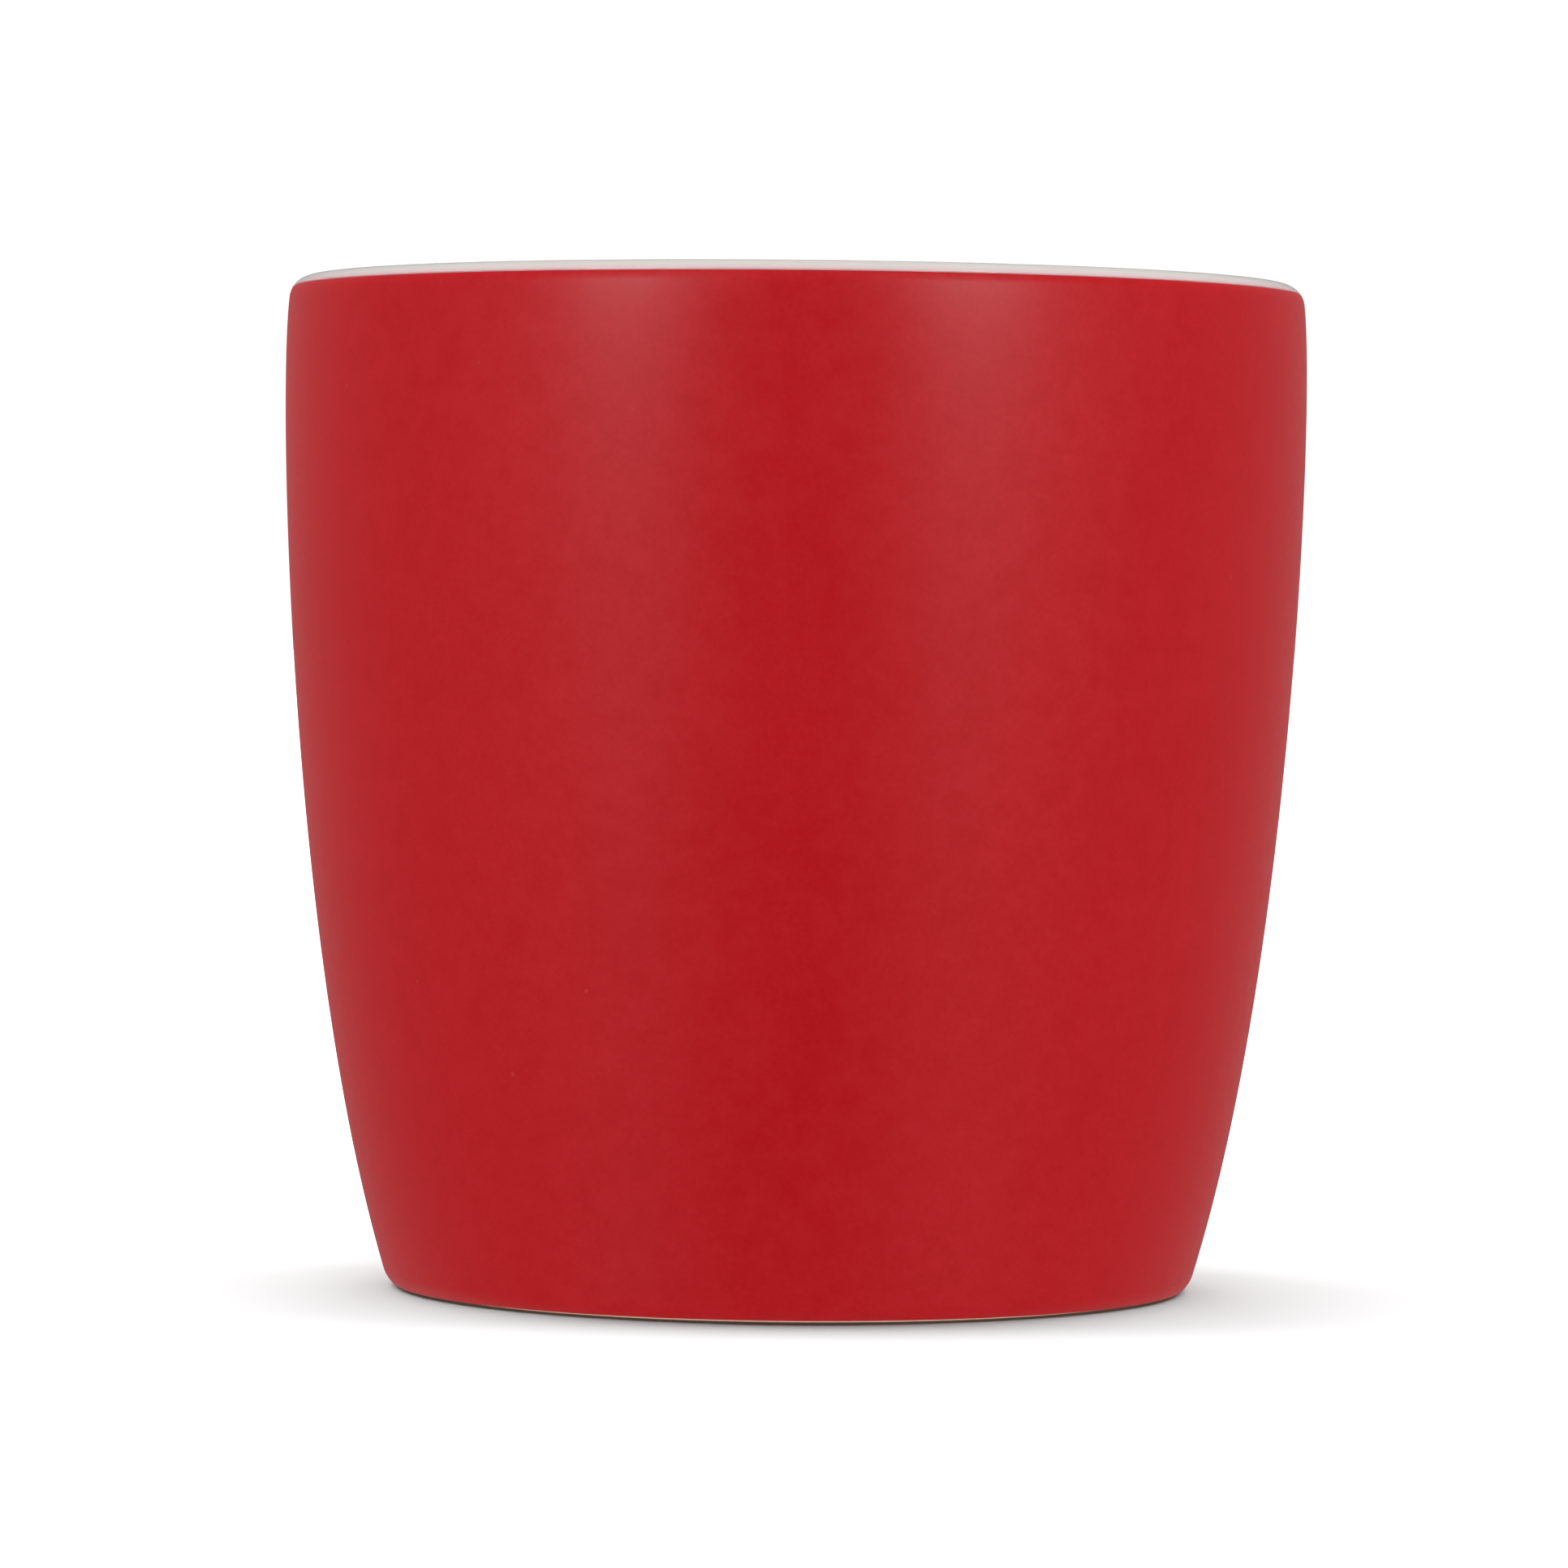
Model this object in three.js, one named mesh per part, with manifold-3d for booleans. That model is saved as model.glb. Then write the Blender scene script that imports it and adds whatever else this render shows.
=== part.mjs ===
import * as THREE from "three";
import { mergeVertices } from "three/addons/utils/BufferGeometryUtils.js";
import Module from "manifold-3d";

// A stoneware mug: a barrel-shaped cup on a low foot ring, with an ear handle stuck on with slip,
// a satin red glaze outside and a glossy white glaze inside that rolls over the lip.
// Millimetres, +Z up. The plain front faces -Y and the handle stands out towards +Y.

const degrees = Math.PI / 180;

// Cup of fired clay, under its glazes
const cupHeight = 88.6; // table to the top of the lip
const lipWallRadius = 44.3; // where the wall runs into the round of the lip
const lipWallLean = 6.4 * degrees; // the wall closes in towards the lip
const lipWallPull = 9.2; // how strongly the wall keeps that lean
const footWallRadius = 35.4; // where the wall runs into the round of the foot
const footWallLean = 16.9 * degrees; // the wall opens out from the foot
const footWallPull = 28.8; // how strongly the wall keeps that lean
const lipRound = 1.6; // half the thickness of the lip
const footRound = 2.4; // outer corner of the foot
const lowWallThickness = 4.6; // wall just above the inside floor
const floorThickness = 4.2; // between the recess and the inside floor
const floorRound = 9; // inside corner between floor and wall

// Foot ring and the recess inside it
const ringWidth = 3.2; // flat bare clay that stands on the table
const ringInnerRound = 0.8;
const recessDepth = 2.4;
const recessLean = 20 * degrees; // the side of the recess, from upright
const recessRound = 1.2;

// Glaze coats
const redCoat = 0.4;
const whiteCoat = 0.4;
const recessCoat = 0.3;
const whiteLipDepth = 1.07; // the white shows this far down outside the lip
const bareFootHeight = 0.2; // the red stops this far above the table

// Handle
const handleWidth = 12.6; // across the handle, side to side
const handleThickness = 7.4;
const handleSquareness = 2.3; // 2 is an ellipse, more is boxier
const upperRootDrop = 15.5; // from the lip down to the middle of the upper root
const lowerRootHeight = 21.5; // from the table up to the middle of the lower root
const upperReach = 43; // how far the handle runs out before it turns down
const lowerReach = 36; // how far it runs out before it turns up
const rootFlareWidth = 2.4; // added to each side of the handle at a root
const rootFlareThickness = 2.6; // added above and below the handle at a root
const rootFlareLength = 11; // how far up the handle the flare reaches
const slipThickness = 1; // layer of slip between a root and the cup

// Clearances
const glazeClearance = 0.02; // a coat over its clay, and a root on its slip
const seatClearance = 0.3; // pieces cut to the curve of the cup

// Facets
const cupFacets = 44;
const wallSteps = 11;
const innerWallSteps = 8;
const lipSteps = 4;
const roundSteps = 3;
const handleFacets = 16;
const handleSteps = 26;
const rootOverrun = 4; // how far an uncut root runs into the cup

// Finishes
const finishes = {
  clay: { color: "#d9c3a5", roughness: 0.85 },
  slip: { color: "#cdb596", roughness: 0.9 },
  red: { color: "#ad191e", roughness: 0.45 },
  white: { color: "#e6e2d8", roughness: 0.12 },
};

const wasm = await Module();
wasm.setup();

// A value of x from 0 to 1 at which a rising function reaches the target
function solveRising(rising, target) {
  let low = 0;
  let high = 1;
  while (high - low > 1e-12) {
    const middle = (low + high) / 2;
    if (rising(middle) < target) low = middle;
    else high = middle;
  }
  return (low + high) / 2;
}

// Profile points have a radius, a height and a normal that points away from the clay
function profilePoint(r, z, nr, nz) {
  return { r, z, nr, nz };
}

function offsetPoint(point, distance) {
  return new THREE.Vector2(point.r + point.nr * distance, point.z + point.nz * distance);
}

function arcPoints(centre, radius, from, to, steps, facing = 1) {
  const points = [];
  for (let i = 0; i <= steps; i++) {
    const angle = THREE.MathUtils.lerp(from, to, i / steps);
    const c = Math.cos(angle);
    const s = Math.sin(angle);
    points.push(profilePoint(centre.x + radius * c, centre.y + radius * s, facing * c, facing * s));
  }
  return points;
}

// Stretches of one outline share their end points, which are kept once
function joinStretches(...stretches) {
  return stretches.flatMap((stretch, i) => (i === 0 ? stretch : stretch.slice(1)));
}

// Outer wall: one smooth curve from the round of the foot to the round of the lip
const footStart = new THREE.Vector2(footWallRadius, footRound * (1 - Math.sin(footWallLean)));
const lipEnd = new THREE.Vector2(
  lipWallRadius,
  cupHeight - lipRound * (1 - Math.sin(lipWallLean)),
);
const wallCurve = new THREE.CubicBezierCurve(
  footStart,
  new THREE.Vector2(
    footStart.x + footWallPull * Math.sin(footWallLean),
    footStart.y + footWallPull * Math.cos(footWallLean),
  ),
  new THREE.Vector2(
    lipEnd.x + lipWallPull * Math.sin(lipWallLean),
    lipEnd.y - lipWallPull * Math.cos(lipWallLean),
  ),
  lipEnd,
);

function wallPoint(t) {
  const point = wallCurve.getPoint(t);
  const tangent = wallCurve.getTangent(t);
  return profilePoint(point.x, point.y, tangent.y, -tangent.x);
}

function wallPointAtHeight(height) {
  return wallPoint(solveRising((t) => wallCurve.getPoint(t).y, height));
}

// Inner wall: the outer wall moved in by a thickness that grows from the lip to the floor
const floorTop = recessDepth + floorThickness;

function innerWallPoint(t, lowest) {
  const outer = wallPoint(t);
  const share = THREE.MathUtils.smoothstep(t, lowest, 1);
  const thickness = THREE.MathUtils.lerp(lowWallThickness, 2 * lipRound, share);
  const inner = offsetPoint(outer, -thickness);
  return profilePoint(inner.x, inner.y, -outer.nr, -outer.nz);
}

// Height of the centre of a floor round that runs tangent into the inner wall at t
function floorRoundCentreHeight(t) {
  const point = innerWallPoint(t, t);
  return point.z + floorRound * point.nz;
}

const innerWallLowest = solveRising(floorRoundCentreHeight, floorTop + floorRound);

// The outline of the clay, anticlockwise from the middle of the recess to the middle of the floor
const rightAngle = Math.PI / 2;
const footCentre = new THREE.Vector2(
  footWallRadius - footRound * Math.cos(footWallLean),
  footRound,
);
const ringCentre = new THREE.Vector2(footCentre.x - ringWidth, ringInnerRound);
const lipCentre = new THREE.Vector2(
  lipWallRadius - lipRound * Math.cos(lipWallLean),
  cupHeight - lipRound,
);
const footStopAngle = -Math.asin(
  (footRound - bareFootHeight) / (footRound + glazeClearance + redCoat),
);
const lipLineAngle = Math.asin(1 - whiteLipDepth / (lipRound + glazeClearance + whiteCoat));

function recessStretch() {
  const lean = new THREE.Vector2(Math.cos(recessLean), Math.sin(recessLean));
  const sideEnd = ringCentre.clone().addScaledVector(lean, -ringInnerRound);
  const cornerHeight = recessDepth - recessRound;
  const sideRise = cornerHeight + recessRound * lean.y - sideEnd.y;
  const sideRun = sideRise * Math.tan(recessLean);
  const corner = new THREE.Vector2(
    sideEnd.x - sideRun - recessRound * lean.x,
    cornerHeight,
  );
  return [
    profilePoint(0, recessDepth, 0, -1),
    ...arcPoints(corner, recessRound, rightAngle, recessLean, roundSteps, -1),
    profilePoint(sideEnd.x, sideEnd.y, -lean.x, -lean.y),
  ];
}

function ringStretch() {
  const from = 2 * rightAngle + recessLean;
  const inner = arcPoints(ringCentre, ringInnerRound, from, 3 * rightAngle, roundSteps);
  const outer = arcPoints(footCentre, footRound, -rightAngle, footStopAngle, roundSteps);
  return [...inner, ...outer];
}

function redStretch() {
  const foot = arcPoints(footCentre, footRound, footStopAngle, -footWallLean, roundSteps);
  const wall = [];
  for (let i = 0; i <= wallSteps; i++) wall.push(wallPoint(i / wallSteps));
  const lip = arcPoints(lipCentre, lipRound, lipWallLean, lipLineAngle, 1);
  return joinStretches(foot, wall, lip);
}

function whiteStretch() {
  const lip = arcPoints(lipCentre, lipRound, lipLineAngle, 2 * rightAngle + lipWallLean, lipSteps);
  const wall = [];
  for (let i = 0; i <= innerWallSteps; i++) {
    const t = THREE.MathUtils.lerp(1, innerWallLowest, i / innerWallSteps);
    wall.push(innerWallPoint(t, innerWallLowest));
  }
  const lowest = wall[wall.length - 1];
  const roundCentre = offsetPoint(lowest, floorRound);
  const from = Math.atan2(-lowest.nz, -lowest.nr);
  const corner = arcPoints(roundCentre, floorRound, from, -rightAngle, roundSteps + 1, -1);
  const middle = [profilePoint(0, floorTop, 0, 1)];
  return [...joinStretches(lip, wall, corner), ...middle];
}

// Lathe geometry turns about +Y, so it is stood up to turn about +Z
function turned(points) {
  const geometry = new THREE.LatheGeometry(points, cupFacets);
  geometry.rotateX(rightAngle);
  return geometry;
}

function cupGeometry() {
  const outline = joinStretches(recessStretch(), ringStretch(), redStretch(), whiteStretch());
  return turned(outline.map((point) => offsetPoint(point, 0)));
}

// A coat lies over one stretch of the outline, and its loop starts on the axis where it meets it
function coatGeometry(stretch, thickness) {
  const over = stretch.map((point) => offsetPoint(point, glazeClearance + thickness));
  const under = stretch.map((point) => offsetPoint(point, glazeClearance)).reverse();
  if (stretch[0].r === 0) return turned([...over, ...under]);
  if (stretch[stretch.length - 1].r === 0) return turned([...under, ...over]);
  return turned([...over, ...under, over[0]]);
}

// The white coat starts a hair past the line where the red one ends
function whiteCoatStretch() {
  const stretch = whiteStretch();
  const past = lipLineAngle + glazeClearance / lipRound;
  stretch[0] = arcPoints(lipCentre, lipRound, past, past, 1)[0];
  return stretch;
}

// The cup's outer form as a full solid, grown by a distance, which trims what meets the wall
function cupForm(grow) {
  const wall = redStretch().map((point) => offsetPoint(point, grow));
  const bottom = new THREE.Vector2(0, wall[0].y);
  const top = new THREE.Vector2(0, wall[wall.length - 1].y);
  return turned([bottom, ...wall, top]);
}

// A closed body through rings of points, with a flat cap at each end
function loft(rings) {
  const count = rings[0].length;
  const last = (rings.length - 1) * count;
  const positions = rings.flat().flatMap((point) => point.toArray());
  const faces = [];
  for (let here = 0; here < last; here += count) {
    const next = here + count;
    for (let j = 0; j < count; j++) {
      const beside = (j + 1) % count;
      faces.push(here + j, next + j, here + beside);
      faces.push(next + j, next + beside, here + beside);
    }
  }
  for (let j = 1; j < count - 1; j++) {
    faces.push(0, j, j + 1);
    faces.push(last, last + j + 1, last + j);
  }
  const geometry = new THREE.BufferGeometry();
  geometry.setAttribute("position", new THREE.Float32BufferAttribute(positions, 3));
  geometry.setIndex(faces);
  return geometry;
}

function solidOf(geometry) {
  const bare = geometry.clone();
  bare.deleteAttribute("normal");
  bare.deleteAttribute("uv");
  const merged = mergeVertices(bare, 1e-5);
  const vertProperties = new Float32Array(merged.getAttribute("position").array);
  const triVerts = new Uint32Array(merged.getIndex().array);
  return new wasm.Manifold(new wasm.Mesh({ numProp: 3, vertProperties, triVerts }));
}

function cut(geometry, ...cutters) {
  let solid = solidOf(geometry);
  for (const cutter of cutters) solid = solid.subtract(solidOf(cutter));
  const mesh = solid.getMesh();
  const result = new THREE.BufferGeometry();
  result.setAttribute("position", new THREE.BufferAttribute(mesh.vertProperties, 3));
  result.setIndex(new THREE.BufferAttribute(mesh.triVerts, 1));
  return result;
}

// Handle: its centre line leaves the wall square at both roots
const upperRoot = wallPointAtHeight(cupHeight - upperRootDrop);
const lowerRoot = wallPointAtHeight(lowerRootHeight);
const slipTop = seatClearance + slipThickness;
const rootStart = slipTop + glazeClearance;

function alongRoot(root, distance) {
  const place = offsetPoint(root, distance);
  return new THREE.Vector3(0, place.x, place.y);
}

const handleLine = new THREE.CubicBezierCurve3(
  alongRoot(upperRoot, rootStart),
  alongRoot(upperRoot, rootStart + upperReach),
  alongRoot(lowerRoot, rootStart + lowerReach),
  alongRoot(lowerRoot, rootStart),
);

// An oval ring of points square to the line, wider and thicker by the flare near a root
function handleRing(centre, along, flare, grow) {
  const halfWidth = handleWidth / 2 + rootFlareWidth * flare + grow;
  const halfThickness = handleThickness / 2 + rootFlareThickness * flare + grow;
  const power = 2 / handleSquareness;
  const ring = [];
  for (let j = 0; j < handleFacets; j++) {
    const angle = (2 * Math.PI * j) / handleFacets;
    const c = Math.cos(angle);
    const s = Math.sin(angle);
    const across = halfWidth * Math.sign(c) * Math.abs(c) ** power;
    const outward = halfThickness * Math.sign(s) * Math.abs(s) ** power;
    const offset = new THREE.Vector3(across, -along.z * outward, along.y * outward);
    ring.push(offset.add(centre));
  }
  return ring;
}

// Stations lie closer together near the roots, where the flare needs them
function handleRings(grow) {
  const length = handleLine.getLength();
  const rings = [];
  for (let i = 0; i <= handleSteps; i++) {
    const even = i / handleSteps;
    const eased = (1 - Math.cos(Math.PI * even)) / 2;
    const u = (even + eased) / 2;
    const fromRoot = Math.min(u, 1 - u) * length;
    const flare = Math.max(0, 1 - fromRoot / rootFlareLength) ** 2;
    rings.push(handleRing(handleLine.getPointAt(u), handleLine.getTangentAt(u), flare, grow));
  }
  return rings;
}

// A straight run of the root's own section, square to the wall
function rootPrism(root, near, far, grow) {
  const along = new THREE.Vector3(0, root.nr, root.nz);
  const ends = [near, far].map((distance) => handleRing(alongRoot(root, distance), along, 1, grow));
  return loft(ends);
}

function slipGeometry(root) {
  return cut(rootPrism(root, -rootOverrun, slipTop, 0), cupForm(seatClearance));
}

// The handle's red coat wraps core and slip, and runs down to the coat of the wall
function handleCoatGeometry() {
  const upperEnd = alongRoot(upperRoot, -rootOverrun);
  const lowerEnd = alongRoot(lowerRoot, -rootOverrun);
  const form = (grow) =>
    loft([
      handleRing(upperEnd, handleLine.getTangentAt(0), 1, grow),
      ...handleRings(grow),
      handleRing(lowerEnd, handleLine.getTangentAt(1), 1, grow),
    ]);
  const wallCoat = glazeClearance + redCoat;
  return cut(form(wallCoat), form(glazeClearance), cupForm(wallCoat + seatClearance));
}

// The wall's red coat has a window round each root, where slip meets bare clay
function cupCoatGeometry() {
  const windows = [upperRoot, lowerRoot].map((root) =>
    rootPrism(root, -rootOverrun, rootOverrun, seatClearance),
  );
  return cut(coatGeometry(redStretch(), redCoat), ...windows);
}

function piece(name, geometry, finish) {
  const material = new THREE.MeshStandardMaterial({ ...finishes[finish], metalness: 0 });
  const mesh = new THREE.Mesh(geometry, material);
  mesh.name = name;
  return mesh;
}

// The box round cup and handle is centred over the origin, with the foot on z = 0
const mug = new THREE.Group();
mug.add(
  piece("stoneware_cup", cupGeometry(), "clay"),
  piece("handle_core", loft(handleRings(0)), "clay"),
  piece("upper_slip_joint", slipGeometry(upperRoot), "slip"),
  piece("lower_slip_joint", slipGeometry(lowerRoot), "slip"),
  piece("red_cup_glaze", cupCoatGeometry(), "red"),
  piece("red_handle_glaze", handleCoatGeometry(), "red"),
  piece("white_lining_glaze", coatGeometry(whiteCoatStretch(), whiteCoat), "white"),
  piece("foot_recess_glaze", coatGeometry(recessStretch(), recessCoat), "white"),
);
const middle = new THREE.Box3().setFromObject(mug).getCenter(new THREE.Vector3());
mug.position.y = -middle.y;

export default mug;
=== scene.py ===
import math

import bpy
from mathutils import Matrix, Vector


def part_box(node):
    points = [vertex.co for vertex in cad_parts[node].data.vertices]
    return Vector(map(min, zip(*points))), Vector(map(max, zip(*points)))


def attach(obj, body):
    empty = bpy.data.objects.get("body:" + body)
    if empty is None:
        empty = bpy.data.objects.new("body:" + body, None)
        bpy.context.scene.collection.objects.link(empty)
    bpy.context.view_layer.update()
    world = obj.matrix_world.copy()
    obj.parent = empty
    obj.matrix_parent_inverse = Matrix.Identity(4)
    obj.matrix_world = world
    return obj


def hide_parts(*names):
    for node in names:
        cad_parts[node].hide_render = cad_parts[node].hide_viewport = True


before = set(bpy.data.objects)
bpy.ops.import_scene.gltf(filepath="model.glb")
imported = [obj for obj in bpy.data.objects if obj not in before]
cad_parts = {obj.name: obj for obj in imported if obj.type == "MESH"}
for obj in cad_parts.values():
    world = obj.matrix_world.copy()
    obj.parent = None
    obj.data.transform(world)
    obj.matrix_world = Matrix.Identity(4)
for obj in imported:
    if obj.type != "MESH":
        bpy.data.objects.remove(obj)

# A stoneware mug: satin red outside, glossy white inside and over the lip, bare clay foot ring.
# Metres. The plain front faces -Y and the handle stands out towards +Y.

mm = 0.001
quarterTurn = math.pi / 2
weldReach = 0.002 * mm  # points of a grown skin that lie closer than this become one
halvings = 60  # rounds of each search by halving
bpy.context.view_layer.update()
cupLow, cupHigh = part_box("stoneware_cup")
cupAxisY = (cupLow.y + cupHigh.y) / 2
print("frame loaded, the cup's axis stands at y =", round(cupAxisY / mm, 2), "mm")


# Small helpers for every node tree

def give(socket, value):
    if isinstance(value, bpy.types.NodeSocket):
        socket.id_data.links.new(value, socket)
    else:
        socket.default_value = value


def addNode(tree, kind, sockets=None, **settings):
    node = tree.nodes.new(kind)
    for name, value in settings.items():
        setattr(node, name, value)
    for name, value in (sockets or {}).items():
        give(next(s for s in node.inputs if s.enabled and s.name == name), value)
    return node


def calc(tree, operation, *values):
    node = addNode(tree, "ShaderNodeMath", operation=operation)
    for socket, value in zip(node.inputs, values):
        give(socket, value)
    return node.outputs[0]


def vectorCalc(tree, operation, *values):
    node = addNode(tree, "ShaderNodeVectorMath", operation=operation)
    for socket, value in zip(node.inputs, values):
        give(socket, value)
    return node.outputs["Vector"]


def scaled(tree, vector, factor):
    node = addNode(tree, "ShaderNodeVectorMath", operation="SCALE")
    give(node.inputs[0], vector)
    give(node.inputs["Scale"], factor)
    return node.outputs["Vector"]


def vectorFrom(tree, x, y, z):
    return addNode(tree, "ShaderNodeCombineXYZ", {"X": x, "Y": y, "Z": z}).outputs[0]


def partsOf(tree, vector):
    return addNode(tree, "ShaderNodeSeparateXYZ", {"Vector": vector}).outputs


# Geometry trees: a host line of points goes in, a closed skin round it comes out

def newShapeTree(name, inputs):
    tree = bpy.data.node_groups.new(name, "GeometryNodeTree")
    for label, kind in inputs.items():
        tree.interface.new_socket(label, in_out="INPUT", socket_type="NodeSocket" + kind)
    tree.interface.new_socket("Mesh", in_out="OUTPUT", socket_type="NodeSocketGeometry")
    return tree, addNode(tree, "NodeGroupInput").outputs


def endShapeTree(tree, shape, material):
    smooth = addNode(tree, "GeometryNodeSetShadeSmooth", {"Geometry": shape})
    real = addNode(tree, "GeometryNodeRealizeInstances", {"Geometry": smooth.outputs[0]})
    sockets = {"Geometry": real.outputs[0], "Material": material}
    painted = addNode(tree, "GeometryNodeSetMaterial", sockets)
    addNode(tree, "NodeGroupOutput", {"Mesh": painted.outputs[0]})


def hostPosition(tree, host, index):
    value = addNode(tree, "GeometryNodeInputPosition").outputs[0]
    sockets = {"Geometry": host, "Value": value, "Index": index}
    return addNode(tree, "GeometryNodeSampleIndex", sockets, data_type="FLOAT_VECTOR").outputs[0]


def hostValue(tree, host, index, name, kind="FLOAT"):
    named = addNode(tree, "GeometryNodeInputNamedAttribute", {"Name": name}, data_type=kind)
    sockets = {"Geometry": host, "Value": named.outputs[0], "Index": index}
    return addNode(tree, "GeometryNodeSampleIndex", sockets, data_type=kind).outputs[0]


def gridRound(tree, facets, rows):
    # A grid whose columns run round the piece, so that the last column closes on the first
    sockets = {"Vertices X": calc(tree, "ADD", facets, 1), "Vertices Y": rows}
    grid = addNode(tree, "GeometryNodeMeshGrid", sockets).outputs["Mesh"]
    index = addNode(tree, "GeometryNodeInputIndex").outputs[0]
    column = calc(tree, "FLOOR", calc(tree, "DIVIDE", calc(tree, "ADD", index, 0.5), rows))
    row = calc(tree, "SUBTRACT", index, calc(tree, "MULTIPLY", column, rows))
    turn = calc(tree, "MULTIPLY", calc(tree, "DIVIDE", column, facets), 2 * math.pi)
    return grid, row, turn


def placeAndWeld(tree, grid, place, weld):
    placed = addNode(tree, "GeometryNodeSetPosition", {"Geometry": grid, "Position": place})
    sockets = {"Geometry": placed.outputs[0], "Distance": weld}
    return addNode(tree, "GeometryNodeMergeByDistance", sockets).outputs[0]


def hostLine(name, points, values, isLoop=False):
    mesh = bpy.data.meshes.new(name + "Line")
    edges = [(i, i + 1) for i in range(len(points) - 1)]
    if isLoop:
        edges.append((len(points) - 1, 0))
    mesh.from_pydata(points, edges, [])
    for label, items in values.items():
        isVector = hasattr(items[0], "__len__")
        layer = mesh.attributes.new(label, "FLOAT_VECTOR" if isVector else "FLOAT", "POINT")
        flat = [x for item in items for x in item] if isVector else items
        layer.data.foreach_set("vector" if isVector else "value", flat)
    return mesh


def grow(name, host, tree, settings):
    # Runs a tree on its host and keeps the result as a plain mesh
    piece = bpy.data.objects.new(name, host)
    bpy.context.scene.collection.objects.link(piece)
    modifier = piece.modifiers.new(tree.name, "NODES")
    modifier.node_group = tree
    for item in tree.interface.items_tree:
        if item.in_out == "INPUT" and item.name in settings:
            modifier[item.identifier] = settings[item.name]
    depsgraph = bpy.context.evaluated_depsgraph_get()
    mesh = bpy.data.meshes.new_from_object(
        piece.evaluated_get(depsgraph), preserve_all_data_layers=True, depsgraph=depsgraph
    )
    mesh.name = name
    piece.modifiers.clear()
    piece.data = mesh
    print(name, "made with", len(mesh.vertices), "points and", len(mesh.polygons), "faces")
    return piece


# Curves and outlines. A station is a point (radius, height) and its normal away from the clay

def curvePoint(pulls, t):
    a, b, c, d = pulls
    s = 1 - t
    return a * s**3 + b * (3 * s * s * t) + c * (3 * s * t * t) + d * t**3


def curveDirection(pulls, t):
    a, b, c, d = pulls
    s = 1 - t
    return ((b - a) * (s * s) + (c - b) * (2 * s * t) + (d - c) * (t * t)).normalized()


def blend(a, b, share):
    return a + (b - a) * share


def smoothStep(low, high, x):
    share = min(1.0, max(0.0, (x - low) / (high - low)))
    return share * share * (3 - 2 * share)


def solveRising(rising, target):
    # The value from 0 to 1 at which a rising function reaches the target
    low, high = 0.0, 1.0
    for _ in range(halvings):
        middle = (low + high) / 2
        if rising(middle) < target:
            low = middle
        else:
            high = middle
    return middle


def arcStations(centre, radius, start, stop, rows, facing=1):
    stations = []
    for i in range(rows + 1):
        angle = blend(start, stop, i / rows)
        out = Vector((math.cos(angle), math.sin(angle)))
        stations.append((centre + out * radius, out * facing))
    return stations


def joined(*stretches):
    # Stretches of one outline share their end stations, which are kept once
    outline = list(stretches[0])
    for stretch in stretches[1:]:
        outline += stretch[1:]
    return outline


def moved(station, distance):
    return station[0] + station[1] * distance


# The fired cup under its glazes, with the sizes of the solid model, except that the lip stands
# 0.2 mm lower over the line of the red, as the photo shows it
cup = {
    "height": 88.4 * mm,
    "lipWallRadius": 44.3 * mm,  # where the wall runs into the round of the lip
    "lipWallLean": math.radians(6.4),
    "lipWallPull": 9.2 * mm,
    "footWallRadius": 35.4 * mm,  # where the wall runs into the round of the foot
    "footWallLean": math.radians(16.9),
    "footWallPull": 28.8 * mm,
    "lipRound": 1.6 * mm,
    "footRound": 2.4 * mm,
    "lowWallThickness": 4.6 * mm,
    "floorThickness": 4.2 * mm,
    "floorRound": 9 * mm,
    "ringWidth": 3.2 * mm,
    "ringInnerRound": 0.8 * mm,
    "recessDepth": 2.4 * mm,
    "recessLean": math.radians(20),
    "recessRound": 1.2 * mm,
    "bareFootHeight": 0.2 * mm,  # the red stops this far above the table
    "whiteLipDepth": 0.87 * mm,  # the white shows this far down outside the lip
    "wallRows": 56,
    "roundRows": 12,
    "flatRows": 10,
    "facets": 256,
}

# The glaze coats, each a thin closed body over its stretch of clay
coats = {
    "red": 0.4 * mm,
    "white": 0.4 * mm,
    "recess": 0.3 * mm,
    "gapToClay": 0.02 * mm,
    "softCorner": 0.14 * mm,  # round of the corner where a coat ends
    "cornerRows": 5,
    "cornerReach": 1.3,  # a soft corner takes the place of this many of its radii of the coat
    "thinReach": 3 * mm,  # the white gets thinner over the lip, from this far to its edge, and there its colour is painted darker with shade and pink with the red's reflection
}

footLean, lipLean = cup["footWallLean"], cup["lipWallLean"]
footStart = Vector((cup["footWallRadius"], cup["footRound"] * (1 - math.sin(footLean))))
lipDrop = cup["lipRound"] * (1 - math.sin(lipLean))
lipEnd = Vector((cup["lipWallRadius"], cup["height"] - lipDrop))
wallPulls = [
    footStart,
    footStart + Vector((math.sin(footLean), math.cos(footLean))) * cup["footWallPull"],
    lipEnd + Vector((math.sin(lipLean), -math.cos(lipLean))) * cup["lipWallPull"],
    lipEnd,
]
footCentre = Vector((footStart.x - cup["footRound"] * math.cos(footLean), cup["footRound"]))
ringCentre = Vector((footCentre.x - cup["ringWidth"], cup["ringInnerRound"]))
lipCentre = Vector(
    (lipEnd.x - cup["lipRound"] * math.cos(lipLean), cup["height"] - cup["lipRound"])
)
redTop = coats["gapToClay"] + coats["red"]
whiteTop = coats["gapToClay"] + coats["white"]
recessTop = coats["gapToClay"] + coats["recess"]
footStopAngle = -math.asin(
    (cup["footRound"] - cup["bareFootHeight"]) / (cup["footRound"] + redTop)
)
lipLineAngle = math.asin(1 - cup["whiteLipDepth"] / (cup["lipRound"] + whiteTop))
innerFloor = cup["recessDepth"] + cup["floorThickness"]


def wallStation(t):
    along = curveDirection(wallPulls, t)
    return curvePoint(wallPulls, t), Vector((along.y, -along.x))


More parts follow.
